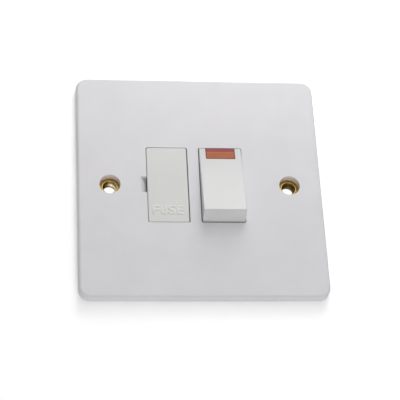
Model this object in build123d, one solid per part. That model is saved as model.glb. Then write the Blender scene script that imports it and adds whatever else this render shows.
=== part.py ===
from build123d import *
from math import cos, radians, sin, sqrt
import os

# A switched fused connection unit for a single wall box: front plate, pull-out fuse carrier, rocker with
# a neon lens, and the double-pole switch, fuse clips and terminals behind the plate. Millimetres.
# X is to the right seen from the front, Z is up, and the wall plane is y = 0. "Out" is the distance in
# front of the wall plane: a point lies at y = -out, and what is behind the wall has a negative out.

# Sides of thin round wire, few enough to keep its faces light
wire_sides = 6
spring_wire_sides = 4
lip_sides = 8

# Clearances
running_gap = 0.3
round_fit = 0.05
seat_fit = 0.05
strip_slot_gap = 0.2

# Front plate
plate_width = 82.0
plate_height = 82.0
plate_depth = 3.0
plate_wall = 2.4
plate_corner_radius = 4.0
plate_edge_radius = 1.0
rim_width = 2.2

# Fixing holes with brass eyelets
fixing_pitch = 60.3
fixing_bore_radius = 2.15
head_hole_radius = 3.5
head_hole_depth = 3.6
boss_wall = 1.85
boss_floor = 1.8
eyelet_wall = 0.5
eyelet_flange = 0.7
eyelet_lip_radius = 0.35
eyelet_flare = 0.65
eyelet_flare_depth = 0.4

# Apertures for the carrier and the rocker, and the collars behind them
rocker_aperture_width = 14.8
carrier_aperture_width = 14.0
aperture_corner_radius = 0.6
bar_width = 3.7
bar_x = -2.06
collar_wall = 1.2
collar_depth = 6.0
notch_width = 5.9
notch_length = 2.0
notch_depth = 2.1

# Rocker: a flat face between two end arcs about the pivot, at rest in the OFF position
pivot_depth = 3.0
rocker_tilt = 10.56
rocker_gap_left = 0.3
rocker_gap_right = 0.14
rocker_end_gap = 0.12
rocker_land = 0.15
rocker_foot_trim = 0.36
rocker_crown = 5.5
rocker_skirt = 1.8
rocker_wall = 1.3
rocker_top_wall = 1.8
rocker_edge_radius = 0.4
trunnion_radius = 1.25
end_gap = 0.2
stem_wall = 0.9
stem_reach = 5.5

# Neon lens in the rocker's upper end
lens_width = 9.9
lens_length = 4.55
lens_depth = 4.2
lens_face_wall = 0.8
lens_top_wall = 1.6
lens_side_wall = 0.45

# Two poles, each with a sprung plunger and a see-saw contact
pole_spacing = 6.8
plunger_radius = 1.45
plunger_length = 6.5
plunger_gap = 0.15
spring_radius = 1.05
spring_wire_radius = 0.2
spring_turns = 4
spring_roof_wall = 0.6
contact_axis_depth = 10.4
contact_tilt = 12.5
contact_arm = 8.0
contact_width = 4.2
contact_corner_radius = 1.0
strip_thickness = 0.8
contact_lift = 0.2
pivot_tip_radius = 0.5
button_radius = 1.5
button_height = 0.8
button_offset = 7.0
button_gap = 0.07
stop_gap = 0.2
stop_wall = 1.2

# Fuse cartridge, its carrier and its clips
fuse_length = 25.4
fuse_cap_radius = 3.175
fuse_cap_length = 5.6
fuse_cap_wall = 0.35
fuse_tube_radius = 2.95
fuse_setback = 8.6
fuse_end_gap = 0.15
carrier_travel = 13.0
carrier_gap_left = 0.15
carrier_gap_right = 0.3
carrier_end_gap = 0.15
carrier_corner_radius = 0.7
carrier_edge_radius = 0.3
carrier_skirt = 2.8
carrier_skirt_wall = 1.05
carrier_leg_wall = 1.0
carrier_leg_width = 10.0
carrier_lug_width = 4.0
carrier_lug_depth = 1.2
lug_slot_wall = 0.8
pry_lip = 1.0
pry_undercut = 0.5
cradle_wall = 1.2
cradle_gap = 0.6
cradle_mouth = 5.2
clip_width = 4.5
clip_thickness = 0.6
clip_gap = 0.08
clip_rise = 1.6
clip_flare = 0.9
clip_bend_radius = 0.7
bridge_gap = 0.45

# Rear housing with open terminal stalls above and below
floor_gap = 1.1
base_floor = 2.0
base_wall = 1.6
base_margin = 4.0
base_corner_radius = 3.0
base_edge_chamfer = 0.8
box_clearance = 0.35
stall_lip = 1.7
partition_wall = 1.2
partition_overlap = 1.0
column_radius = 2.9
column_edge = 0.1
pillar_depth = 4.0
screw_radius = 1.4
screw_clearance = 0.25
screw_head_radius = 2.5
screw_head_height = 1.5
screw_head_chamfer = 0.6
screw_cross_length = 2.8
screw_cross_width = 0.7
screw_cross_depth = 1.0
screw_tip_wall = 0.6

# Terminals
terminal_width = 6.5
terminal_length = 7.0
terminal_height = 9.0
terminal_gap = 0.3
terminal_side_gap = 0.15
terminal_front_wall = 0.7
terminal_chamfer = 0.3
wire_bore_radius = 2.1
clamp_screw_radius = 1.95
clamp_screw_sink = 0.2
clamp_slot_width = 0.8
clamp_slot_depth = 1.0
access_clearance = 0.5

# Earth strap
strap_thickness = 0.8
strap_width = 4.0
strap_ring_wall = 1.9
strap_clearance = 0.6
strap_bend_radius = 1.2

# Neon lamp with its series resistor
lamp_radius = 1.9
lamp_length = 8.0
lamp_axis_depth = 8.3
saddle_wall = 0.7
resistor_radius = 1.15
resistor_length = 5.5
resistor_axis_depth = 12.0
lead_radius = 0.3
lead_bend_radius = 1.0
lead_gap = 0.65
lead_stub = 1.4

# Places that follow from the sizes above
plate_back = plate_depth - plate_wall
aperture_height = fuse_length + 2 * (fuse_end_gap + carrier_skirt_wall + carrier_end_gap)
eyelet_seat = plate_depth - head_hole_depth
boss_back = eyelet_seat - boss_floor
boss_radius = head_hole_radius + boss_wall
eyelet_radius = fixing_bore_radius + eyelet_wall
strap_back = boss_back - strap_thickness
rocker_left = bar_x + bar_width / 2
rocker_x = rocker_left + rocker_aperture_width / 2
carrier_right = bar_x - bar_width / 2
carrier_x = carrier_right - carrier_aperture_width / 2
carrier_left = carrier_x - carrier_aperture_width / 2
pivot_out = plate_depth - pivot_depth
rocker_width = rocker_aperture_width - rocker_gap_left - rocker_gap_right
rocker_body_x = rocker_left + rocker_gap_left + rocker_width / 2
rocker_radius = sqrt((aperture_height / 2 - rocker_end_gap)**2 + pivot_depth**2)
rocker_half_face = sqrt(rocker_radius**2 - rocker_crown**2)
pole_places = (rocker_x - pole_spacing / 2, rocker_x + pole_spacing / 2)
live_x, neutral_x = pole_places
contact_out = -contact_axis_depth
contact_top = contact_lift + strip_thickness
stem_bore_radius = plunger_radius + round_fit
spring_roof = rocker_crown - rocker_top_wall - spring_roof_wall
plunger_tip = pivot_out - contact_out - contact_top - plunger_radius - plunger_gap
plunger_top = plunger_length - plunger_tip - plunger_radius
button_reach = button_offset + button_radius
button_drop = button_height - contact_lift
closed_drop = button_drop * cos(radians(contact_tilt)) + button_reach * sin(radians(contact_tilt))
fixed_strip_top = contact_out - closed_drop - button_gap - button_height
fixed_strip_start = button_offset - button_radius - strip_slot_gap
fuse_out = plate_depth - fuse_setback
cap_z = fuse_length / 2 - fuse_cap_length / 2
clip_half = fuse_cap_radius + clip_gap + clip_thickness / 2
carrier_width = carrier_aperture_width - carrier_gap_left - carrier_gap_right
carrier_height = aperture_height - 2 * carrier_end_gap
cap_x = carrier_left + carrier_gap_left + carrier_width / 2
lug_slot_end = plate_back - lug_slot_wall
lug_front = lug_slot_end - stop_gap - carrier_travel
lug_back = lug_front - carrier_lug_depth
cradle_length = fuse_length - 2 * fuse_cap_length - 2 * cradle_gap
floor_strip_top = min(lug_back, fixed_strip_top - strip_thickness) - floor_gap
floor_out = floor_strip_top - strip_thickness
base_depth = base_floor - floor_out
bridge_run_z = trunnion_radius + contact_width / 2 + bridge_gap
base_left = carrier_left - collar_wall - base_margin - base_wall
base_right = rocker_left + rocker_aperture_width + collar_wall + base_margin + base_wall
base_width = base_right - base_left
base_x = (base_left + base_right) / 2
box_half = aperture_height / 2 + collar_wall + box_clearance + base_wall
stall_length = terminal_gap + terminal_length + stall_lip
base_half = box_half + stall_length
column_inset = column_radius + column_edge
column_places = [(x, z)
                 for x in (base_left + column_inset, base_right - column_inset)
                 for z in (column_inset - base_half, base_half - column_inset)]
terminal_front = floor_out + terminal_height
terminal_start = box_half + terminal_gap
terminal_z = terminal_start + terminal_length / 2
wire_bore_out = terminal_front - terminal_front_wall - wire_bore_radius
terminal_pitch = terminal_width + partition_wall + 2 * terminal_side_gap
upper_terminals = {
    "terminal_earth_supply": rocker_x - 2.5 * terminal_pitch,
    "terminal_earth_load": rocker_x - 1.5 * terminal_pitch,
    "terminal_live_in": rocker_x - 0.5 * terminal_pitch,
    "terminal_neutral_in": rocker_x + 0.5 * terminal_pitch,
}
lower_terminals = {
    "terminal_live_out": carrier_x,
    "terminal_neutral_out": rocker_x + 0.5 * terminal_pitch,
}
terminal_places = [(x, terminal_z) for x in upper_terminals.values()]
terminal_places += [(x, -terminal_z) for x in lower_terminals.values()]
strap_run_z = base_half + strap_clearance + strap_width / 2
lamp_out = -lamp_axis_depth
resistor_out = -resistor_axis_depth
lamp_z = button_reach + running_gap + lamp_radius
saddle_width = pole_spacing - contact_width - 2 * running_gap
resistor_x = rocker_left - collar_wall - lead_gap - lead_radius
resistor_z = lamp_z - lead_stub - resistor_length / 2
lead_x = neutral_x + contact_width / 2 + lead_gap + lead_radius


# Solids from flat outlines
def prism(sketch, low, high):
    """An outline in (x, z), from one out to another."""
    return extrude(Plane.XZ.offset(low) * sketch, high - low, dir=(0, -1, 0))


def side_prism(sketch, low, high):
    """An outline in (z, out), from one x to another."""
    plane = Plane(origin=(low, 0, 0), x_dir=(0, 0, 1), z_dir=(1, 0, 0))
    return extrude(plane * sketch, high - low, dir=(1, 0, 0))


def plan_prism(sketch, low, high):
    """An outline in (x, out), from one z to another."""
    plane = Plane(origin=(0, 0, high), x_dir=(1, 0, 0), z_dir=(0, 0, -1))
    return extrude(plane * sketch, high - low, dir=(0, 0, -1))


def span(low_u, high_u, low_v, high_v):
    """A rectangle between two pairs of limits."""
    middle = Pos((low_u + high_u) / 2, (low_v + high_v) / 2)
    return middle * Rectangle(high_u - low_u, high_v - low_v)


def rounded_front(solid, radius):
    """Rounds the edges of the face that looks out of the wall."""
    return fillet(solid.faces().sort_by(Axis.Y)[0].edges(), radius)


def wire_tube(points):
    """A round wire through (x, z, out) points, with equal bends."""
    route = [(x, -out, z) for x, z, out in points]
    path = FilletPolyline(*route, radius=lead_bend_radius) if len(route) > 2 else Polyline(*route)
    return sweep(Plane(origin=path @ 0, z_dir=path % 0) * RegularPolygon(lead_radius, wire_sides), path=path)


# Front plate
def aperture(x, width):
    return Pos(x, 0) * RectangleRounded(width, aperture_height, aperture_corner_radius)


def collar(x, width):
    return Pos(x, 0) * Rectangle(width + 2 * collar_wall, aperture_height + 2 * collar_wall)


def trunnion_slot():
    """Bearing slots for the rocker in its collar's side walls, open towards the back."""
    radius = trunnion_radius + round_fit
    outline = Pos(0, pivot_out) * Circle(radius) + span(-radius, radius, -collar_depth, pivot_out)
    reach = rocker_aperture_width / 2 + collar_wall
    return side_prism(outline, rocker_x - reach, rocker_x + reach)


def rocker_sweep():
    """A hollow behind the top edge of the rocker's aperture, which its upper end arc runs in."""
    radius = rocker_radius + rocker_end_gap
    outline = Pos(0, pivot_out) * Circle(radius)
    outline &= span(0, radius, -collar_depth, plate_depth - rocker_land)
    return side_prism(outline, rocker_left, rocker_left + rocker_aperture_width)


def pry_notch():
    """A ramp beside the carrier, for the tip of a screwdriver."""
    ramp = Polygon(
        (carrier_left - notch_length, plate_depth),
        (carrier_left, plate_depth),
        (carrier_left, plate_depth - notch_depth),
        align=None,
    )
    return plan_prism(ramp, -notch_width / 2, notch_width / 2)


def front_plate():
    plate = prism(RectangleRounded(plate_width, plate_height, plate_corner_radius), 0, plate_depth)
    plate = rounded_front(plate, plate_edge_radius)
    recess_width = plate_width - 2 * rim_width
    recess_height = plate_height - 2 * rim_width
    plate -= prism(RectangleRounded(recess_width, recess_height, plate_corner_radius), 0, plate_back)
    middle = plate_depth - plate_wall / 2
    openings = ((rocker_x, rocker_aperture_width), (carrier_x, carrier_aperture_width))
    for x, width in openings:
        plate += prism(collar(x, width), -collar_depth, middle)
    for x in (-fixing_pitch / 2, fixing_pitch / 2):
        plate += prism(Pos(x, 0) * Circle(boss_radius), boss_back, middle)
        plate -= prism(Pos(x, 0) * Circle(head_hole_radius), eyelet_seat, plate_depth)
        plate -= prism(Pos(x, 0) * Circle(eyelet_radius + round_fit), boss_back, eyelet_seat)
    for x, z in column_places:
        plate += prism(Pos(x, z) * Circle(column_radius), -pillar_depth, middle)
        plate -= prism(Pos(x, z) * Circle(screw_radius + round_fit), -pillar_depth, plate_back)
    for x, width in openings:
        plate -= prism(aperture(x, width), -collar_depth, plate_depth)
    plate -= rocker_sweep()
    plate -= trunnion_slot()
    lug_half = carrier_lug_width / 2 + running_gap
    lug_slot = span(carrier_right, carrier_right + collar_wall, -lug_half, lug_half)
    plate -= prism(lug_slot, -collar_depth, lug_slot_end)
    return plate - pry_notch()


# Fixing eyelets and earth strap
def eyelet(x):
    flange_radius = head_hole_radius - round_fit
    flange_front = eyelet_seat + eyelet_flange
    back = strap_back - eyelet_flare_depth
    profile = span(fixing_bore_radius, eyelet_radius, back, flange_front)
    profile += span(fixing_bore_radius, flange_radius, eyelet_seat, flange_front)
    profile += span(fixing_bore_radius, eyelet_radius + eyelet_flare, back, strap_back)
    lip = RegularPolygon(eyelet_lip_radius, lip_sides, major_radius=False, rotation=180 / lip_sides)
    profile += Pos(fixing_bore_radius + eyelet_lip_radius, flange_front) * lip
    plane = Plane(origin=(x, 0, 0), x_dir=(1, 0, 0), z_dir=(0, 0, -1))
    return revolve(plane * profile, Axis((x, 0, 0), (0, 1, 0)))


def earth_strap():
    """A flat brass bow from eyelet to eyelet, with a folded tab to each earth terminal."""
    half = fixing_pitch / 2
    ring_radius = eyelet_radius + strap_ring_wall
    top = strap_run_z + strap_width / 2
    flat = span(-half - strap_width / 2, half + strap_width / 2, 0, top)
    flat -= span(strap_width / 2 - half, half - strap_width / 2, 0, top - strap_width)
    flat = fillet(flat.vertices().filter_by(lambda corner: corner.Y > strap_width), strap_bend_radius)
    flat += Pos(-half, 0) * Circle(ring_radius) + Pos(half, 0) * Circle(ring_radius)
    for x in (-half, half):
        flat -= Pos(x, 0) * Circle(eyelet_radius + round_fit)
    strap = prism(flat, strap_back, boss_back)
    level = boss_back - strap_thickness / 2
    fold = FilletPolyline(
        (strap_run_z, level), (terminal_z, level), (terminal_z, terminal_front), radius=strap_bend_radius
    )
    for name in ("terminal_earth_supply", "terminal_earth_load"):
        x = upper_terminals[name]
        strap += side_prism(trace(fold, strap_thickness), x - strap_width / 2, x + strap_width / 2)
    return strap


# Rocker and what rides in it, made level about the pivot and then tipped to OFF
def at_rocker_rest(solid):
    return Pos(0, -pivot_out, 0) * Rot(-rocker_tilt, 0, 0) * solid


def rocker_slice(radius, low, high, width):
    """A slice about the pivot, cut flat at the front and the back, with a shorter lower end."""
    profile = Circle(radius) & span(0, radius, low, high)
    profile += Circle(radius - rocker_foot_trim) & span(-radius, 0, low, high)
    return side_prism(profile, rocker_body_x - width / 2, rocker_body_x + width / 2)


def rocker_block():
    block = rocker_slice(rocker_radius, -rocker_skirt, rocker_crown, rocker_width)
    front_edges = block.faces().sort_by(Axis.Y)[0].edges()
    return fillet(front_edges + block.edges().filter_by(GeomType.CIRCLE), rocker_edge_radius)


def lens_block(clearance):
    half = lens_width / 2 + clearance
    low = rocker_crown - lens_depth - clearance
    outline = span(rocker_half_face - lens_length - clearance, rocker_radius, low, rocker_crown)
    return side_prism(outline, rocker_body_x - half, rocker_body_x + half)


def rocker():
    body = rocker_block()
    inner_radius = rocker_radius - rocker_wall
    inner_width = rocker_width - 2 * rocker_wall
    body -= rocker_slice(inner_radius, -rocker_skirt, rocker_crown - rocker_top_wall, inner_width)
    roof = rocker_crown - rocker_top_wall / 2
    for x in pole_places:
        body += prism(Pos(x, 0) * Circle(stem_bore_radius + stem_wall), -stem_reach, roof)
        body -= prism(Pos(x, 0) * Circle(stem_bore_radius), -stem_reach, spring_roof)
    pin = rocker_aperture_width / 2 + collar_wall - end_gap
    root = (rocker_width - rocker_wall) / 2
    for low, high in ((-pin, -root), (root, pin)):
        body += side_prism(Circle(trunnion_radius), rocker_x + low, rocker_x + high)
    return at_rocker_rest(body - lens_block(seat_fit))


def neon_lens():
    """A red cap, open at the back, that continues the rocker's face and end arc."""
    cap = rocker_block() & lens_block(0)
    inner_half = lens_width / 2 - lens_side_wall
    hollow = span(
        rocker_half_face - lens_length + lens_side_wall,
        rocker_half_face - lens_top_wall,
        rocker_crown - lens_depth,
        rocker_crown - lens_face_wall,
    )
    inside = side_prism(hollow, rocker_body_x - inner_half, rocker_body_x + inner_half)
    return at_rocker_rest(cap - inside)


def plunger(x):
    shaft = prism(Pos(x, 0) * Circle(plunger_radius), -plunger_tip, plunger_top)
    return at_rocker_rest(shaft + Pos(x, plunger_tip, 0) * Sphere(plunger_radius))


def plunger_spring(x):
    """A coil between the stem's roof and the plunger's head."""
    length = spring_roof - plunger_top - 2 * spring_wire_radius
    coil = Helix(pitch=length / spring_turns, height=length, radius=spring_radius)
    section = Plane(origin=coil @ 0, z_dir=coil % 0) * RegularPolygon(spring_wire_radius, spring_wire_sides)
    spring = Rot(90, 0, 0) * sweep(section, path=coil, is_frenet=True)
    return at_rocker_rest(Pos(x, -plunger_top - spring_wire_radius, 0) * spring)


# See-saw contacts, made level about their pivot and then tipped open
def at_contact_rest(solid):
    return Pos(0, -contact_out, 0) * Rot(contact_tilt, 0, 0) * solid


def moving_contact(x):
    blade = Pos(x, 0) * RectangleRounded(contact_width, 2 * contact_arm, contact_corner_radius)
    strip = prism(blade, contact_lift, contact_top)
    groove = Circle(pivot_tip_radius + round_fit)
    strip -= side_prism(groove, x - contact_width / 2, x + contact_width / 2)
    return at_contact_rest(strip)


def moving_button(x):
    return at_contact_rest(prism(Pos(x, button_offset) * Circle(button_radius), -button_drop, contact_lift))


def fixed_button(x):
    place = Pos(x, button_offset) * Circle(button_radius)
    return prism(place, fixed_strip_top, fixed_strip_top + button_height)


def fixed_strip(x):
    half = contact_width / 2
    outline = span(x - half, x + half, fixed_strip_start, terminal_start)
    return prism(outline, fixed_strip_top - strip_thickness, fixed_strip_top)


def pivot_fold(x, foot_z):
    """A strip folded up from the floor, with a rounded top that the see-saw rocks on."""
    level = floor_out + strip_thickness / 2
    fold = FilletPolyline((foot_z, level), (0, level), (0, contact_out), radius=strip_thickness)
    profile = trace(fold, strip_thickness) + Pos(0, contact_out) * Circle(pivot_tip_radius)
    return side_prism(profile, x - contact_width / 2, x + contact_width / 2)


def neutral_bridge():
    return pivot_fold(neutral_x, -terminal_start)


def fuse_clip(side):
    """A folded clip whose two fingers hold the sides of one fuse cap."""
    level = floor_out + clip_thickness / 2
    neck = fuse_out + clip_rise
    tip = neck + clip_flare
    bow = FilletPolyline(
        (carrier_x - clip_half - clip_flare, tip),
        (carrier_x - clip_half, neck),
        (carrier_x - clip_half, level),
        (carrier_x + clip_half, level),
        (carrier_x + clip_half, neck),
        (carrier_x + clip_half + clip_flare, tip),
        radius=clip_bend_radius,
    )
    middle = side * cap_z
    return plan_prism(trace(bow, clip_thickness), middle - clip_width / 2, middle + clip_width / 2)


def live_bridge():
    """The live pivot, its strip across the floor and the supply clip, stamped in one."""
    half = contact_width / 2
    low = -bridge_run_z - half
    high = half - bridge_run_z
    flat = span(carrier_x - half, live_x + half, low, high)
    flat += span(carrier_x - half, carrier_x + half, low, cap_z)
    strip = prism(flat, floor_out, floor_strip_top)
    return strip + pivot_fold(live_x, -bridge_run_z) + fuse_clip(1)


def load_clip():
    half = contact_width / 2
    tail = span(carrier_x - half, carrier_x + half, -terminal_start, -cap_z)
    return prism(tail, floor_out, floor_strip_top) + fuse_clip(-1)


# Fuse and its carrier
def fuse_tube():
    inner_radius = fuse_cap_radius - fuse_cap_wall - round_fit
    half = fuse_length / 2
    body = plan_prism(
        Pos(carrier_x, fuse_out) * Circle(fuse_tube_radius), fuse_cap_length - half, half - fuse_cap_length
    )
    return body + plan_prism(
        Pos(carrier_x, fuse_out) * Circle(inner_radius), fuse_cap_wall - half, half - fuse_cap_wall
    )


def fuse_cap(side):
    end = side * fuse_length / 2
    mouth = side * (fuse_length / 2 - fuse_cap_length)
    floor = side * (fuse_length / 2 - fuse_cap_wall)
    place = Pos(carrier_x, fuse_out)
    cup = plan_prism(place * Circle(fuse_cap_radius), min(end, mouth), max(end, mouth))
    inside = place * Circle(fuse_cap_radius - fuse_cap_wall)
    return cup - plan_prism(inside, min(floor, mouth), max(floor, mouth))


def fuse_carrier():
    """A flush cap with a cradle for the fuse, a captive leg at the right and a pry edge at the left."""
    face = Pos(cap_x, 0) * RectangleRounded(carrier_width, carrier_height, carrier_corner_radius)
    body = rounded_front(prism(face, plate_back - carrier_skirt, plate_depth), carrier_edge_radius)
    inner_width = carrier_width - 2 * carrier_skirt_wall
    inner_height = carrier_height - 2 * carrier_skirt_wall
    inside = Pos(cap_x, 0) * Rectangle(inner_width, inner_height)
    body -= prism(inside, plate_back - carrier_skirt, plate_back)

    ring_radius = fuse_tube_radius + round_fit + cradle_wall
    ring = Pos(carrier_x, fuse_out) * Circle(ring_radius)
    ring += span(carrier_x - ring_radius, carrier_x + ring_radius, fuse_out + fuse_tube_radius, plate_back)
    ring -= Pos(carrier_x, fuse_out) * Circle(fuse_tube_radius + round_fit)
    half_mouth = cradle_mouth / 2
    ring -= span(carrier_x - ring_radius, carrier_x, fuse_out - half_mouth, fuse_out + half_mouth)
    body += plan_prism(ring, -cradle_length / 2, cradle_length / 2)

    edge = cap_x + carrier_width / 2
    leg = span(edge - carrier_leg_wall, edge, -carrier_leg_width / 2, carrier_leg_width / 2)
    body += prism(leg, lug_back, plate_back)
    lug_reach = carrier_right + collar_wall - end_gap
    lug = span(edge - carrier_leg_wall, lug_reach, -carrier_lug_width / 2, carrier_lug_width / 2)
    body += prism(lug, lug_back, lug_front)

    pry = span(edge - carrier_width, edge - carrier_width + pry_undercut, -notch_width / 2, notch_width / 2)
    return body - prism(pry, plate_back - carrier_skirt, plate_depth - pry_lip)


# Terminals
def terminal(x, z):
    half_length = terminal_length / 2
    outline = span(x - terminal_width / 2, x + terminal_width / 2, z - half_length, z + half_length)
    block = chamfer(prism(outline, floor_out, terminal_front).edges().filter_by(Axis.Y), terminal_chamfer)
    block -= plan_prism(Pos(x, wire_bore_out) * Circle(wire_bore_radius), z - half_length, z + half_length)
    return block - prism(Pos(x, z) * Circle(clamp_screw_radius + round_fit), floor_out, wire_bore_out)


def clamp_screw(x, z):
    """A slotted screw, backed off so that the wire hole is clear."""
    tip = wire_bore_out - wire_bore_radius - round_fit
    head = clamp_screw_sink - base_depth
    screw = prism(Pos(x, z) * Circle(clamp_screw_radius), head, tip)
    slot = Pos(x, z) * Rectangle(2 * clamp_screw_radius, clamp_slot_width)
    return screw - prism(slot, head, head + clamp_slot_depth)


# Rear housing
def housing_screw(x, z):
    """A screw with a low head and a cross recess."""
    back = -base_depth - screw_head_height
    head = prism(Pos(x, z) * Circle(screw_head_radius), back, -base_depth)
    head = chamfer(head.faces().sort_by(Axis.Y)[-1].edges(), screw_head_chamfer)
    bar = Rectangle(screw_cross_length, screw_cross_width)
    head -= prism(Pos(x, z) * (bar + Rot(0, 0, 90) * bar), back, back + screw_cross_depth)
    return head + prism(Pos(x, z) * Circle(screw_radius), -base_depth, plate_back - screw_tip_wall)


def trunnion_posts():
    """Posts that close the bearing slots of the rocker from behind."""
    outline = span(-trunnion_radius, trunnion_radius, floor_out, pivot_out)
    outline -= Pos(0, pivot_out) * Circle(trunnion_radius + round_fit)
    outer = rocker_left + rocker_aperture_width
    return side_prism(outline, rocker_left - collar_wall, rocker_left) + side_prism(
        outline, outer, outer + collar_wall
    )


def lamp_saddle():
    half = lamp_radius + round_fit + saddle_wall
    outline = span(lamp_z - half, lamp_z + half, floor_out, lamp_out)
    outline -= Pos(lamp_z, lamp_out) * Circle(lamp_radius + round_fit)
    return side_prism(outline, rocker_x - saddle_width / 2, rocker_x + saddle_width / 2)


def contact_stop():
    """A bar that the lower arms rest on while the switch is off, carried between the two strips."""
    dip = contact_arm * sin(radians(contact_tilt)) - contact_lift * cos(radians(contact_tilt))
    top = contact_out - dip - stop_gap
    end = contact_arm * cos(radians(contact_tilt))
    bar = span(live_x - contact_width / 2, neutral_x + contact_width / 2, -end, stop_wall - end)
    gap_half = (pole_spacing - contact_width) / 2 - strip_slot_gap
    leg = span(rocker_x - gap_half, rocker_x + gap_half, -end, stop_wall - end)
    return prism(bar, floor_strip_top + strip_slot_gap, top) + prism(leg, floor_out, top)


def strip_rest(x):
    """A pedestal under a fixed contact strip."""
    middle = (fixed_strip_start + box_half - base_wall) / 2
    outline = Pos(x, middle) * Rectangle(contact_width, contact_width)
    return prism(outline, floor_out, fixed_strip_top - strip_thickness)


def base_housing():
    outline = Pos(base_x, 0) * RectangleRounded(base_width, 2 * base_half, base_corner_radius)
    floor = prism(outline, -base_depth, floor_out)
    base = chamfer(floor.faces().sort_by(Axis.Y)[-1].edges(), base_edge_chamfer)
    middle = floor_out - base_floor / 2
    walls = Rectangle(base_width, 2 * box_half)
    walls -= Rectangle(base_width - 2 * base_wall, 2 * (box_half - base_wall))
    base += prism(Pos(base_x, 0) * walls, middle, plate_back)

    partition_z = box_half + stall_length / 2
    half_pitch = terminal_pitch / 2
    for side, terminals in ((1, upper_terminals), (-1, lower_terminals)):
        for x in terminals.values():
            for edge in (x - half_pitch, x + half_pitch):
                wall = Pos(edge, side * partition_z) * Rectangle(partition_wall, stall_length)
                base += prism(wall, middle, terminal_front + partition_overlap)
    for x, z in column_places:
        base += prism(Pos(x, z) * Circle(column_radius), middle, -pillar_depth)
        base -= prism(Pos(x, z) * Circle(screw_radius + screw_clearance), -base_depth, -pillar_depth)
    for x, z in terminal_places:
        base -= prism(Pos(x, z) * Circle(clamp_screw_radius + access_clearance), -base_depth, floor_out)

    slot_half = contact_width / 2 + strip_slot_gap
    wall_start = box_half - base_wall
    for x in pole_places:
        slot = span(x - slot_half, x + slot_half, wall_start, box_half)
        slot_back = fixed_strip_top - strip_thickness - strip_slot_gap
        base -= prism(slot, slot_back, fixed_strip_top + strip_slot_gap)
    for x in (carrier_x, neutral_x):
        slot = span(x - slot_half, x + slot_half, -box_half, -wall_start)
        base -= prism(slot, floor_out, floor_strip_top + strip_slot_gap)
    base += trunnion_posts() + lamp_saddle() + contact_stop()
    for x in pole_places:
        base += strip_rest(x)
    return base


# Neon lamp circuit
def neon_lamp():
    tube = side_prism(
        Pos(lamp_z, lamp_out) * Circle(lamp_radius), rocker_x - lamp_length / 2, rocker_x + lamp_length / 2
    )
    return chamfer(tube.faces().sort_by(Axis.X)[-1].edges(), lamp_radius / 2)


def neon_resistor():
    half = resistor_length / 2
    section = Pos(resistor_x, resistor_out) * Circle(resistor_radius)
    body = plan_prism(section, resistor_z - half, resistor_z + half)
    return chamfer(body.edges().filter_by(GeomType.CIRCLE), resistor_radius / 3)


def neon_lead_live():
    """From the lamp to the resistor, and from the resistor to the live bridge."""
    half = resistor_length / 2
    upper = wire_tube([
        (rocker_x - lamp_length / 2, lamp_z, lamp_out),
        (resistor_x, lamp_z, lamp_out),
        (resistor_x, lamp_z, resistor_out),
        (resistor_x, resistor_z + half, resistor_out),
    ])
    lower = wire_tube([
        (resistor_x, resistor_z - half, resistor_out),
        (resistor_x, -bridge_run_z, resistor_out),
        (resistor_x, -bridge_run_z, floor_strip_top),
    ])
    return Compound([upper, lower])


def neon_lead_neutral():
    level = floor_strip_top + lead_radius
    return wire_tube([
        (rocker_x + lamp_length / 2, lamp_z, lamp_out),
        (lead_x, lamp_z, lamp_out),
        (lead_x, lamp_z, level),
        (lead_x, -bridge_run_z, level),
        (neutral_x, -bridge_run_z, level),
    ])


nodes = {
    "front_plate": front_plate(),
    "eyelet_left": eyelet(-fixing_pitch / 2),
    "eyelet_right": eyelet(fixing_pitch / 2),
    "earth_strap": earth_strap(),
    "base_housing": base_housing(),
    "housing_screws": Compound([housing_screw(x, z) for x, z in column_places]),
    "terminal_screws": Compound([clamp_screw(x, z) for x, z in terminal_places]),
    "rocker": rocker(),
    "neon_lens": neon_lens(),
    "live_bridge": live_bridge(),
    "load_clip": load_clip(),
    "neutral_bridge": neutral_bridge(),
    "fuse_carrier": fuse_carrier(),
    "fuse_tube": fuse_tube(),
    "fuse_cap_supply": fuse_cap(1),
    "fuse_cap_load": fuse_cap(-1),
    "neon_lamp": neon_lamp(),
    "neon_resistor": neon_resistor(),
    "neon_lead_live": neon_lead_live(),
    "neon_lead_neutral": neon_lead_neutral(),
}
for pole, pole_x in (("live", live_x), ("neutral", neutral_x)):
    nodes[f"{pole}_plunger"] = plunger(pole_x)
    nodes[f"{pole}_spring"] = plunger_spring(pole_x)
    nodes[f"{pole}_moving_contact"] = moving_contact(pole_x)
    nodes[f"{pole}_moving_button"] = moving_button(pole_x)
    nodes[f"{pole}_fixed_strip"] = fixed_strip(pole_x)
    nodes[f"{pole}_fixed_button"] = fixed_button(pole_x)
for name, terminal_x in upper_terminals.items():
    nodes[name] = terminal(terminal_x, terminal_z)
for name, terminal_x in lower_terminals.items():
    nodes[name] = terminal(terminal_x, -terminal_z)

os.makedirs("parts", exist_ok=True)
for name, solid in nodes.items():
    export_step(solid, f"parts/{name}.step")
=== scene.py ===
from math import cos, radians, sin

import bmesh
import bpy
from mathutils import Matrix, Vector


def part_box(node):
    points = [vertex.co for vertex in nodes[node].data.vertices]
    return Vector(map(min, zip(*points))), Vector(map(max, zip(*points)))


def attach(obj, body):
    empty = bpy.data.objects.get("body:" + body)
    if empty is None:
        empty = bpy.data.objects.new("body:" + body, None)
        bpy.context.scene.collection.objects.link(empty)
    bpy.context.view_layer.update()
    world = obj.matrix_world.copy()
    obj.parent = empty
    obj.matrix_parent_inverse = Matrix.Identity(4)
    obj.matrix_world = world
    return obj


# Looks of a switched fused connection unit: finishes for every part, the raised word on the fuse
# carrier, a pale wall and floor, soft light and the camera. Metres, with X right, Z up and the
# wall plane at y = 0.

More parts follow.
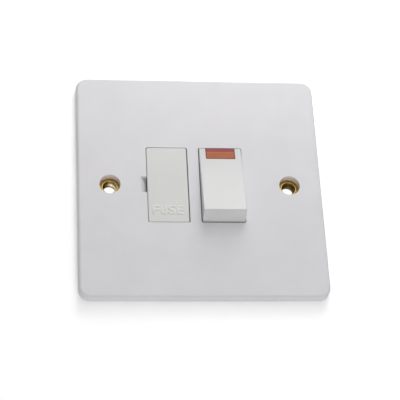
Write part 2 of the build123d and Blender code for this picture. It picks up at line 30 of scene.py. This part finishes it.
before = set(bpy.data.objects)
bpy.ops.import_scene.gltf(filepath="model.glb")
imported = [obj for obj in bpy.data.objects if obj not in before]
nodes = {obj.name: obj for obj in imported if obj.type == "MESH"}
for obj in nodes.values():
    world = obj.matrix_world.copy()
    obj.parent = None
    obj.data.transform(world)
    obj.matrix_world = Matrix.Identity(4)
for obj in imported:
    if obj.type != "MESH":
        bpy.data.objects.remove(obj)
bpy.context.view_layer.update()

mm = 0.001
to_right = (1.0, 0.0, 0.0)
into_wall = (0.0, 1.0, 0.0)
upward = (0.0, 0.0, 1.0)

# Camera
camera_place = Vector((-61.55, -439.69, -230.06)) * mm
camera_aim = Vector((-0.43, -3.0, -5.72)) * mm
camera_roll = radians(-3.18)
camera_lens = 134.3
camera_sensor = 36.0
camera_near = 0.01

# Wall and floor: their sizes, their paint, and how much paler each looks than its paint
wall_gap = 0.1 * mm
wall_reach = 0.7
wall_tuck = 0.2 * mm
plate_corner = 4.0 * mm
arc_steps = 12
floor_drop = 0.45
floor_reach = 6.0
stage_colour = (0.90, 0.90, 0.90, 1.0)
stage_roughness = 0.9
stage_gloss = 0.1
wall_lift = (0.54, 0.54, 0.54, 1.0)
floor_lift = (1.80, 1.80, 1.80, 1.0)

# Even light from all round, weaker from the left
world_left = 0.17
world_right = 0.34

# Lamps, all aimed at the middle of the plate: place, size and power
lamps = {
    "key": ((0.05, -0.10, 0.24), 0.20, 0.56),
    "fill": ((0.05, -0.80, 0.45), 0.60, 1.75),
    "low": ((0.0, -0.16, -0.36), 0.20, 0.34),
    "back": ((-0.40, 0.80, 0.85), 0.50, 9.0),
}

# Raised word on the carrier: the left and right ends of each letter in mm, and the line they stand in
letters = {"F": (-16.4, -13.95), "U": (-13.65, -11.6), "S": (-11.3, -8.55), "E": (-8.3, -5.95)}
word_low = -11.1 * mm
word_high = -7.7 * mm
word_rise = 0.15 * mm

# Strokes of its letters, in the font's own unit: how much they are thinned, and their rounded slope
word_thinning = -0.042
word_slope = 0.07
outline_steps = 6
slope_steps = 2

# Rocker: its tilt at rest, and the curve of its slightly dished face in slope per metre
rocker_tilt = radians(10.56)
rocker_along = Vector((0.0, sin(rocker_tilt), cos(rocker_tilt)))
rocker_out = Vector((0.0, -cos(rocker_tilt), sin(rocker_tilt)))
rocker_dish = 9.0

# Fixing holes: the bore of the eyelet and the recess that it sits in
bore_radius = 2.15 * mm
recess_radius = 3.5 * mm

# How far past those radii the painted tones of their walls stay full, and where they have faded out
full_tone = 0.02 * mm
bore_fade = 0.06 * mm
recess_fade = 0.10 * mm

# Share of the painted brass bounce light that reaches the front of a recess
front_painted_bounce = 0.35

# Bore of an eyelet, painted in shade on the left of its axis and with painted light on the right: where
# each is full, in radii
bore_painted_dark = 0.75
bore_painted_light = 0.35

# Neon lens, measured along the rocker's face
lens_strip = 1.32 * mm
lens_border = 0.42 * mm
# A painted highlight line at the top of the window: its width and strength
lens_painted_highlight = 0.70 * mm
lens_painted_highlight_share = 0.8
lens_blur = 0.10 * mm
face_tolerance = 0.01 * mm

# Most noise values lie between these
noise_low = 0.3
noise_high = 0.7


# Node helpers
def add(tree, kind, inputs=None, **settings):
    """Adds a shader node with its settings and input values."""
    made = tree.nodes.new(kind)
    for key, value in settings.items():
        setattr(made, key, value)
    for key, value in (inputs or {}).items():
        made.inputs[key].default_value = value
    return made


def start_material(name):
    """A new material, with its nodes and its main shader."""
    material = bpy.data.materials.new(name)
    material.use_nodes = True
    tree = material.node_tree
    return material, tree, tree.nodes["Principled BSDF"]


def place_texture(tree):
    """Places in the part's own frame, in metres."""
    return add(tree, "ShaderNodeTexCoord").outputs["Object"]


def noise(tree, place, scale, detail=2.0, roughness=0.5):
    """A noise value whose scale is in cells per metre."""
    made = add(
        tree, "ShaderNodeTexNoise", {"Scale": scale, "Detail": detail, "Roughness": roughness}
    )
    tree.links.new(place, made.inputs["Vector"])
    return made.outputs["Fac"]


def ramp(tree, value, start, end, low=0.0, high=1.0):
    """Maps a value from start to end onto a range."""
    made = add(
        tree, "ShaderNodeMapRange", {"From Min": start, "From Max": end, "To Min": low, "To Max": high}
    )
    tree.links.new(value, made.inputs["Value"])
    return made.outputs["Result"]


def spread(tree, value, low=0.0, high=1.0):
    """Maps a noise value to a range."""
    return ramp(tree, value, noise_low, noise_high, low, high)


def larger(tree, *values):
    """The largest of several values."""
    result = values[0]
    for value in values[1:]:
        made = add(tree, "ShaderNodeMath", operation="MAXIMUM")
        tree.links.new(result, made.inputs[0])
        tree.links.new(value, made.inputs[1])
        result = made.outputs["Value"]
    return result


def measure(tree, place, direction):
    """How far a place lies along a direction."""
    made = add(tree, "ShaderNodeVectorMath", operation="DOT_PRODUCT")
    made.inputs[1].default_value = direction
    tree.links.new(place, made.inputs[0])
    return made.outputs["Value"]


def hole_distance(tree, place):
    """How far a place lies from the axis of the nearer fixing hole."""
    low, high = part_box("eyelet_right")
    folded = add(tree, "ShaderNodeVectorMath", operation="ABSOLUTE")
    tree.links.new(place, folded.inputs[0])
    centred = add(tree, "ShaderNodeVectorMath", operation="SUBTRACT")
    centred.inputs[1].default_value = ((low.x + high.x) / 2, 0.0, 0.0)
    tree.links.new(folded.outputs["Vector"], centred.inputs[0])
    across = add(tree, "ShaderNodeVectorMath", operation="MULTIPLY")
    across.inputs[1].default_value = (1.0, 0.0, 1.0)
    tree.links.new(centred.outputs["Vector"], across.inputs[0])
    distance = add(tree, "ShaderNodeVectorMath", operation="LENGTH")
    tree.links.new(across.outputs["Vector"], distance.inputs[0])
    return distance.outputs["Value"]


def mix_colours(tree, factor, first, second):
    """Mixes two colours, each a value or another node's output."""
    made = add(tree, "ShaderNodeMix", data_type="RGBA")
    tree.links.new(factor, made.inputs["Factor"])
    for socket, colour in (("A", first), ("B", second)):
        target = [s for s in made.inputs if s.name == socket and s.type == "RGBA"][0]
        if isinstance(colour, tuple):
            target.default_value = colour
        else:
            tree.links.new(colour, target)
    return [s for s in made.outputs if s.type == "RGBA"][0]


def mix_values(tree, factor, first, second):
    """Mixes two values, each a number or another node's output."""
    made = add(tree, "ShaderNodeMapRange")
    tree.links.new(factor, made.inputs["Value"])
    for socket, value in (("To Min", first), ("To Max", second)):
        if isinstance(value, float):
            made.inputs[socket].default_value = value
        else:
            tree.links.new(value, made.inputs[socket])
    return made.outputs["Result"]


def mix_shaders(tree, factor, first, second):
    """Mixes two shaders."""
    made = add(tree, "ShaderNodeMixShader")
    tree.links.new(factor, made.inputs["Fac"])
    tree.links.new(first, made.inputs[1])
    tree.links.new(second, made.inputs[2])
    return made.outputs["Shader"]


def colour_stops(tree, value, stops, interpolation):
    """Colours along a value from 0 to 1."""
    made = add(tree, "ShaderNodeValToRGB")
    made.color_ramp.interpolation = interpolation
    for index, (position, colour) in enumerate(stops):
        old = index < len(made.color_ramp.elements)
        stop = made.color_ramp.elements[index] if old else made.color_ramp.elements.new(position)
        stop.position = position
        stop.color = colour
    tree.links.new(value, made.inputs["Fac"])
    return made.outputs["Color"]


def bump(tree, shader, height, depth, strength):
    """Adds a relief to a shader, on top of any that it has."""
    made = add(tree, "ShaderNodeBump", {"Strength": strength, "Distance": depth})
    tree.links.new(height, made.inputs["Height"])
    for link in shader.inputs["Normal"].links:
        tree.links.new(link.from_socket, made.inputs["Normal"])
    tree.links.new(made.outputs["Normal"], shader.inputs["Normal"])


def shade(colour, factor):
    """A colour made darker or lighter."""
    return tuple(c * factor for c in colour) + (1.0,)


def seen_directly(tree):
    """1 for what the camera, a reflection or clear glass shows, 0 for light that falls on surfaces."""
    rays = add(tree, "ShaderNodeLightPath").outputs
    return larger(tree, rays["Is Camera Ray"], rays["Is Glossy Ray"], rays["Is Transmission Ray"])


# Materials
def moulded_plastic(name, colour, roughness, grain):
    """Moulded plastic: faint clouding, uneven sheen and a fine eroded grain."""
    material, tree, shader = start_material(name)
    place = place_texture(tree)
    cloud = spread(tree, noise(tree, place, scale=90.0, detail=4.0, roughness=0.6))
    darker = shade(colour, 0.975)
    lighter = shade(colour, 1.02)
    tree.links.new(mix_colours(tree, cloud, darker, lighter), shader.inputs["Base Color"])
    sheen = noise(tree, place, scale=700.0, detail=3.0)
    uneven = spread(tree, sheen, low=roughness - 0.05, high=roughness + 0.07)
    tree.links.new(uneven, shader.inputs["Roughness"])
    shader.inputs["Specular IOR Level"].default_value = 0.35
    relief = noise(tree, place, scale=grain, detail=3.0, roughness=0.6)
    bump(tree, shader, relief, depth=0.02 * mm, strength=0.12)
    return material


def plate_plastic(name, colour, roughness, grain, painted_warm_bounce):
    """Moulded plastic of the plate, with a painted, warmer tint in the recesses of the fixing holes that
    stands in for light bounced off the brass.
    """
    material = moulded_plastic(name, colour, roughness, grain)
    tree = material.node_tree
    shader = tree.nodes["Principled BSDF"]
    plain = shader.inputs["Base Color"].links[0].from_socket
    place = place_texture(tree)
    # Painted bounce light from the brass: a warmer tint near the fixing holes, strongest deep in a recess
    distance = hole_distance(tree, place)
    near = ramp(tree, distance, recess_radius + recess_fade, recess_radius + full_tone)
    plate_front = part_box("front_plate")[0].y
    brass_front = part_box("eyelet_right")[0].y
    depth = measure(tree, place, into_wall)
    deep = ramp(tree, depth, plate_front, brass_front, low=front_painted_bounce)
    painted_bounce_mask = mix_values(tree, near, 0.0, deep)
    tree.links.new(mix_colours(tree, painted_bounce_mask, plain, painted_warm_bounce), shader.inputs["Base Color"])
    return material


def dished_plastic(name, colour, roughness, grain):
    """Moulded plastic of the rocker, whose face is slightly hollow from end to end."""
    material = moulded_plastic(name, colour, roughness, grain)
    tree = material.node_tree
    along = measure(tree, place_texture(tree), rocker_along)
    square = add(tree, "ShaderNodeMath", operation="MULTIPLY")
    tree.links.new(along, square.inputs[0])
    tree.links.new(along, square.inputs[1])
    shader = tree.nodes["Principled BSDF"]
    bump(tree, shader, square.outputs["Value"], depth=rocker_dish / 2, strength=1.0)
    return material


def worked_metal(name, bright, dull, roughness, streak):
    """Bare metal: tarnish in patches and fine streaks from drawing or turning."""
    material, tree, shader = start_material(name)
    place = place_texture(tree)
    patches = spread(tree, noise(tree, place, scale=450.0, detail=4.0, roughness=0.65))
    tree.links.new(mix_colours(tree, patches, bright, dull), shader.inputs["Base Color"])
    shader.inputs["Metallic"].default_value = 1.0
    stretch = add(tree, "ShaderNodeMapping", {"Scale": streak})
    tree.links.new(place, stretch.inputs["Vector"])
    lines = noise(tree, stretch.outputs["Vector"], scale=1.0, detail=3.0, roughness=0.6)
    uneven = spread(tree, lines, low=roughness - 0.06, high=roughness + 0.10)
    tree.links.new(uneven, shader.inputs["Roughness"])
    bump(tree, shader, lines, depth=0.01 * mm, strength=0.25)
    return material


def eyelet_brass(name, node, painted_shine, bare):
    """Rolled brass with painted light: a painted highlight on the lip, darker olive beside it, and a bore
    painted dark at the left.

    The bore's right side is painted with the colour shine, a painted reflection, and bare is how much of
    it is bare metal.
    """
    low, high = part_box(node)
    axis_x = (low.x + high.x) / 2
    outer_radius = (high.x - low.x) / 2
    gold = (0.50, 0.34, 0.085, 1.0)
    olive = (0.33, 0.235, 0.072, 1.0)
    brown = (0.085, 0.046, 0.008, 1.0)
    # Painted light across the ring, from the bore outwards: painted shade at the bore's mouth, a painted
    # gold highlight on the lip, then darker olive
    painted_ring_stops = [(0.02, brown), (0.12, brown), (0.22, gold), (0.42, gold), (0.55, olive), (1.0, olive)]
    # Painted light along the bore, from front to back: painted shade, the painted reflection shine,
    # olive, then painted shade again
    painted_bore_stops = [(0.10, brown), (0.34, brown), (0.46, painted_shine), (0.62, painted_shine), (0.72, olive), (1.0, brown)]

    material, tree, shader = start_material(name)
    place = place_texture(tree)
    distance = hole_distance(tree, place)
    share = ramp(tree, distance, bore_radius, outer_radius)
    ring = colour_stops(tree, share, painted_ring_stops, "LINEAR")
    depth = ramp(tree, measure(tree, place, into_wall), low.y, high.y)
    painted_lit = colour_stops(tree, depth, painted_bore_stops, "LINEAR")
    # The bore's left side is painted in shade, not metal, and its right side carries the painted
    # reflection
    side = measure(tree, place, to_right)
    painted_side = ramp(tree, side, axis_x - bore_painted_dark * bore_radius, axis_x + bore_painted_light * bore_radius)
    bore = mix_colours(tree, painted_side, brown, painted_lit)
    in_bore = ramp(tree, distance, bore_radius + bore_fade, bore_radius + full_tone)
    base = mix_colours(tree, in_bore, ring, bore)
    tarnish = noise(tree, place, scale=900.0, detail=4.0, roughness=0.65)
    patches = spread(tree, tarnish, high=0.35)
    tree.links.new(mix_colours(tree, patches, base, olive), shader.inputs["Base Color"])
    metal = mix_values(tree, in_bore, 1.0, mix_values(tree, painted_side, 0.0, bare))
    tree.links.new(metal, shader.inputs["Metallic"])
    shader.inputs["Specular IOR Level"].default_value = 0.0
    lines = noise(tree, place, scale=2500.0, detail=3.0, roughness=0.6)
    tree.links.new(spread(tree, lines, low=0.22, high=0.38), shader.inputs["Roughness"])
    bump(tree, shader, lines, depth=0.01 * mm, strength=0.2)
    return material


def lens_plastic(name):
    """Red lens: a dark solid strip along the top, an orange window below it with a painted highlight line
    under the strip, and a brown rim.
    """
    low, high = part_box("neon_lens")
    points = [v.co for v in nodes["neon_lens"].data.vertices]
    front = max(rocker_out.dot(p) for p in points)
    face = [rocker_along.dot(p) for p in points if front - rocker_out.dot(p) < face_tolerance]
    strip_start = max(face) - lens_strip
    orange = (0.38, 0.092, 0.029, 1.0)
    pale_orange = (0.425, 0.113, 0.038, 1.0)
    painted_highlight_line = (0.50, 0.155, 0.062, 1.0)
    dark_red = (0.275, 0.048, 0.046, 1.0)
    brown = (0.055, 0.026, 0.016, 1.0)

    material, tree, shader = start_material(name)
    place = place_texture(tree)
    height = measure(tree, place, rocker_along)
    side = measure(tree, place, to_right)
    strip = ramp(tree, height, strip_start - lens_blur, strip_start + lens_blur)
    left = ramp(tree, side, low.x + lens_border, low.x)
    right = ramp(tree, side, high.x - lens_border, high.x)
    bottom = ramp(tree, height, min(face) + lens_border, min(face))
    border = larger(tree, left, right, bottom)
    cloud = spread(tree, noise(tree, place, scale=500.0, detail=3.0))
    window = mix_colours(tree, cloud, orange, pale_orange)
    # Painted highlight along the top of the window, just under the dark strip
    line = ramp(tree, height, strip_start - lens_painted_highlight, strip_start, high=lens_painted_highlight_share)
    painted_lit = mix_colours(tree, line, window, painted_highlight_line)
    banded = mix_colours(tree, strip, painted_lit, dark_red)
    whole = mix_colours(tree, border, banded, brown)
    tree.links.new(whole, shader.inputs["Base Color"])
    shader.inputs["Roughness"].default_value = 0.40
    shader.inputs["Specular IOR Level"].default_value = 0.15
    bump(tree, shader, noise(tree, place, scale=900.0), depth=0.02 * mm, strength=0.10)
    return material


def lamp_glass(name):
    """Clear glass with a faint, slightly uneven warm tint."""
    warm_tint = (0.95, 0.90, 0.86, 1.0)
    pale_tint = (0.98, 0.94, 0.90, 1.0)

    material, tree, shader = start_material(name)
    place = place_texture(tree)
    cloud = spread(tree, noise(tree, place, scale=400.0, detail=3.0))
    tree.links.new(mix_colours(tree, cloud, warm_tint, pale_tint), shader.inputs["Base Color"])
    shader.inputs["Transmission Weight"].default_value = 0.85
    shader.inputs["Roughness"].default_value = 0.05
    return material


def banded_resistor(name):
    """A lacquered body with plain coloured bands round it."""
    low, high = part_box("neon_resistor")
    body = (0.55, 0.38, 0.20, 1.0)
    red = (0.35, 0.05, 0.02, 1.0)
    black = (0.02, 0.02, 0.02, 1.0)
    yellow = (0.80, 0.55, 0.05, 1.0)
    gold = (0.55, 0.40, 0.12, 1.0)
    band_width = 0.10
    stops = [(0.0, body)]
    for start, colour in ((0.18, red), (0.38, black), (0.58, yellow), (0.80, gold)):
        stops += [(start, colour), (start + band_width, body)]

    material, tree, shader = start_material(name)
    place = place_texture(tree)
    share = ramp(tree, measure(tree, place, upward), low.z, high.z)
    tree.links.new(colour_stops(tree, share, stops, "CONSTANT"), shader.inputs["Base Color"])
    uneven = spread(tree, noise(tree, place, scale=900.0), low=0.3, high=0.45)
    tree.links.new(uneven, shader.inputs["Roughness"])
    return material


def stage_material(name, extra, one_sided):
    """Pale matt surface that looks white to the camera and keeps shadows.

    A one-sided surface is clear from behind.
    """
    material, tree, shader = start_material(name)
    shader.inputs["Base Color"].default_value = stage_colour
    shader.inputs["Roughness"].default_value = stage_roughness
    shader.inputs["Specular IOR Level"].default_value = stage_gloss
    lift = add(tree, "ShaderNodeBsdfDiffuse", {"Color": extra})
    lifted = add(tree, "ShaderNodeAddShader")
    tree.links.new(shader.outputs["BSDF"], lifted.inputs[0])
    tree.links.new(lift.outputs["BSDF"], lifted.inputs[1])
    look = mix_shaders(tree, seen_directly(tree), shader.outputs["BSDF"], lifted.outputs["Shader"])
    if one_sided:
        behind = add(tree, "ShaderNodeNewGeometry").outputs["Backfacing"]
        clear = add(tree, "ShaderNodeBsdfTransparent").outputs["BSDF"]
        look = mix_shaders(tree, behind, look, clear)
    tree.links.new(look, tree.nodes["Material Output"].inputs["Surface"])
    return material


def dress(material, names):
    """Gives CAD parts a material."""
    for name in names:
        mesh = nodes[name].data
        mesh.materials.clear()
        mesh.materials.append(material)
        for face in mesh.polygons:
            face.material_index = 0


def poles(*pieces):
    """Names of pieces that the live and the neutral pole both have."""
    return [f"{pole}_{piece}" for pole in ("live", "neutral") for piece in pieces]


# Finishes of the CAD parts
# The plate's warmer tint in the hole recesses is painted bounce light from the brass
white_plate = plate_plastic(
    "plate_plastic",
    (0.772, 0.76, 0.785),
    roughness=0.42,
    grain=5200.0,
    painted_warm_bounce=(0.88, 0.765, 0.68, 1.0),
)
white_carrier = moulded_plastic("carrier_plastic", (0.745, 0.744, 0.722), roughness=0.40, grain=5200.0)
# The letters are the carrier's plastic painted lighter, a painted highlight for the light that their
# raised strokes catch
word_painted_lighter = moulded_plastic("word_plastic_painted_lighter", (0.79, 0.789, 0.766), roughness=0.38, grain=5200.0)
white_rocker = dished_plastic("rocker_plastic", (0.702, 0.702, 0.698), roughness=0.40, grain=5200.0)
white_housing = moulded_plastic("housing_plastic", (0.70, 0.70, 0.685), roughness=0.50, grain=3600.0)
plunger_plastic = moulded_plastic("plunger_plastic", (0.62, 0.61, 0.57), roughness=0.45, grain=4000.0)
lead_sleeve = moulded_plastic("lead_sleeve", (0.66, 0.63, 0.55), roughness=0.55, grain=6000.0)
fuse_ceramic = moulded_plastic("fuse_ceramic", (0.74, 0.72, 0.66), roughness=0.55, grain=2600.0)
brass = worked_metal(
    "brass",
    bright=(0.80, 0.58, 0.22, 1.0),
    dull=(0.62, 0.42, 0.13, 1.0),
    roughness=0.26,
    streak=(700.0, 3000.0, 700.0),
)
bronze = worked_metal(
    "bronze",
    bright=(0.78, 0.50, 0.28, 1.0),
    dull=(0.60, 0.36, 0.18, 1.0),
    roughness=0.32,
    streak=(3500.0, 700.0, 700.0),
)
steel = worked_metal(
    "steel",
    bright=(0.66, 0.66, 0.64, 1.0),
    dull=(0.54, 0.54, 0.51, 1.0),
    roughness=0.30,
    streak=(2500.0, 800.0, 2500.0),
)
silver = worked_metal(
    "silver",
    bright=(0.86, 0.85, 0.82, 1.0),
    dull=(0.72, 0.70, 0.66, 1.0),
    roughness=0.22,
    streak=(1500.0, 1500.0, 1500.0),
)
# Left eyelet: a pale painted reflection on the bore's right side
left_brass = eyelet_brass(
    "eyelet_left_brass",
    "eyelet_left",
    painted_shine=(0.70, 0.65, 0.47, 1.0),
    bare=1.0,
)
# Right eyelet: painted shade on the bore's right side as well, mostly not metal
right_brass = eyelet_brass(
    "eyelet_right_brass",
    "eyelet_right",
    painted_shine=(0.12, 0.075, 0.018, 1.0),
    bare=0.15,
)

terminal_names = [name for name in nodes if name.startswith("terminal_") and name != "terminal_screws"]
dress(white_plate, ["front_plate"])
dress(white_carrier, ["fuse_carrier"])
dress(white_rocker, ["rocker"])
dress(white_housing, ["base_housing"])
dress(plunger_plastic, poles("plunger"))
dress(lead_sleeve, ["neon_lead_live", "neon_lead_neutral"])
dress(fuse_ceramic, ["fuse_tube"])
dress(brass, ["earth_strap"] + terminal_names)
dress(left_brass, ["eyelet_left"])
dress(right_brass, ["eyelet_right"])
dress(bronze, ["live_bridge", "load_clip", "neutral_bridge"] + poles("moving_contact", "fixed_strip"))
dress(steel, ["housing_screws", "terminal_screws", "fuse_cap_supply", "fuse_cap_load"] + poles("spring"))
dress(silver, poles("moving_button", "fixed_button"))
dress(lens_plastic("lens_plastic"), ["neon_lens"])
dress(lamp_glass("lamp_glass"), ["neon_lamp"])
dress(banded_resistor("resistor_lacquer"), ["neon_resistor"])


# Raised word on the fuse carrier
def letter_mesh(letter):
    """A solid letter in the default font, as a new mesh with its extent."""
    curve = bpy.data.curves.new("letter", "FONT")
    curve.body = letter
    curve.offset = word_thinning
    curve.resolution_u = outline_steps
    curve.bevel_depth = word_slope
    curve.bevel_resolution = slope_steps
    shape = bpy.data.objects.new("letter", curve)
    bpy.context.scene.collection.objects.link(shape)
    mesh = bpy.data.meshes.new_from_object(shape.evaluated_get(bpy.context.evaluated_depsgraph_get()))
    bpy.data.objects.remove(shape)
    xs = [v.co.x for v in mesh.vertices]
    ys = [v.co.y for v in mesh.vertices]
    return mesh, min(xs), max(xs), min(ys), max(ys)


def raised_word():
    """Letters that stand on the carrier's face, each fitted between its own ends."""
    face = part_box("fuse_carrier")[0].y
    turn = Matrix.Rotation(radians(90), 4, "X")
    word = bmesh.new()
    for letter, (left, right) in letters.items():
        mesh, x0, x1, y0, y1 = letter_mesh(letter)
        to_corner = Matrix.Translation((-x0, -y0, 0.0))
        wide = (right - left) * mm / (x1 - x0)
        tall = (word_high - word_low) / (y1 - y0)
        size = Matrix.Diagonal((wide, tall, word_rise / word_slope, 1.0))
        to_face = Matrix.Translation((left * mm, face, word_low))
        mesh.transform(to_face @ turn @ size @ to_corner)
        word.from_mesh(mesh)
        bpy.data.meshes.remove(mesh)
    solid = bpy.data.meshes.new("carrier_word")
    word.to_mesh(solid)
    word.free()
    solid.materials.append(word_painted_lighter)
    piece = bpy.data.objects.new("carrier_word", solid)
    bpy.context.scene.collection.objects.link(piece)
    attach(piece, "fuse_carrier")


raised_word()


# Building the wall and the floor
def stage_mesh(name, points, faces, material):
    """A piece of the stage, from its points and faces."""
    mesh = bpy.data.meshes.new(name)
    mesh.from_pydata(points, [], faces)
    mesh.materials.append(material)
    piece = bpy.data.objects.new(name, mesh)
    bpy.context.scene.collection.objects.link(piece)


def wall():
    """A wall behind the plate, with an opening just inside the plate's rounded outline."""
    corners = ((-1, -1), (1, -1), (1, 1), (-1, 1))
    points = [(x * wall_reach, wall_gap, max(z * wall_reach, -floor_drop)) for x, z in corners]
    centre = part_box("front_plate")[1].x - plate_corner
    radius = plate_corner - wall_tuck
    for quarter, (x, z) in enumerate(corners):
        for step in range(arc_steps + 1):
            angle = radians(180 + 90 * quarter + 90 * step / arc_steps)
            points.append((x * centre + radius * cos(angle), wall_gap, z * centre + radius * sin(angle)))
    faces = []
    arc_starts = [len(corners) + corner * (arc_steps + 1) for corner in range(len(corners))]
    for corner, arc in enumerate(arc_starts):
        following = (corner + 1) % len(corners)
        faces.append((corner, following, arc_starts[following], arc + arc_steps))
        faces += [(corner, arc + step + 1, arc + step) for step in range(arc_steps)]
    paint = stage_material("wall_paint", wall_lift, one_sided=True)
    stage_mesh("wall", points, faces, paint)


def floor():
    """A wide floor that the wall stands on."""
    points = [
        (-floor_reach, -floor_reach, -floor_drop),
        (floor_reach, -floor_reach, -floor_drop),
        (floor_reach, floor_reach, -floor_drop),
        (-floor_reach, floor_reach, -floor_drop),
    ]
    paint = stage_material("floor_paint", floor_lift, one_sided=False)
    stage_mesh("floor", points, [(0, 1, 2, 3)], paint)


wall()
floor()


# Making the light
def area_lamp(name, place, size, power):
    """A square lamp that shines at the middle of the plate."""
    data = bpy.data.lights.new(name, "AREA")
    data.shape = "SQUARE"
    data.size = size
    data.energy = power
    lamp = bpy.data.objects.new(name, data)
    lamp.location = place
    lamp.rotation_euler = (-Vector(place)).to_track_quat("-Z", "Y").to_euler()
    bpy.context.scene.collection.objects.link(lamp)


for lamp_name, settings in lamps.items():
    area_lamp(lamp_name, *settings)


def set_world():
    """White to the camera and in reflections, a lower light for the rest."""
    world = bpy.data.worlds.new("studio")
    world.use_nodes = True
    tree = world.node_tree
    background = tree.nodes["Background"]
    background.inputs["Color"].default_value = (1.0, 1.0, 1.0, 1.0)
    direction = add(tree, "ShaderNodeTexCoord").outputs["Generated"]
    level = ramp(tree, measure(tree, direction, to_right), -1.0, 1.0, world_left, world_right)
    strength = mix_values(tree, seen_directly(tree), level, 1.0)
    tree.links.new(strength, background.inputs["Strength"])
    bpy.context.scene.world = world


set_world()


# Placing the camera
def make_camera():
    """The camera at the photo's viewing angle."""
    data = bpy.data.cameras.new("camera")
    data.lens = camera_lens
    data.sensor_width = camera_sensor
    data.clip_start = camera_near
    camera = bpy.data.objects.new("camera", data)
    turn = (camera_aim - camera_place).to_track_quat("-Z", "Y").to_matrix().to_4x4()
    camera.matrix_world = Matrix.Translation(camera_place) @ turn @ Matrix.Rotation(camera_roll, 4, "Z")
    bpy.context.scene.collection.objects.link(camera)
    bpy.context.scene.camera = camera


make_camera()
bpy.context.scene.view_settings.view_transform = "Standard"
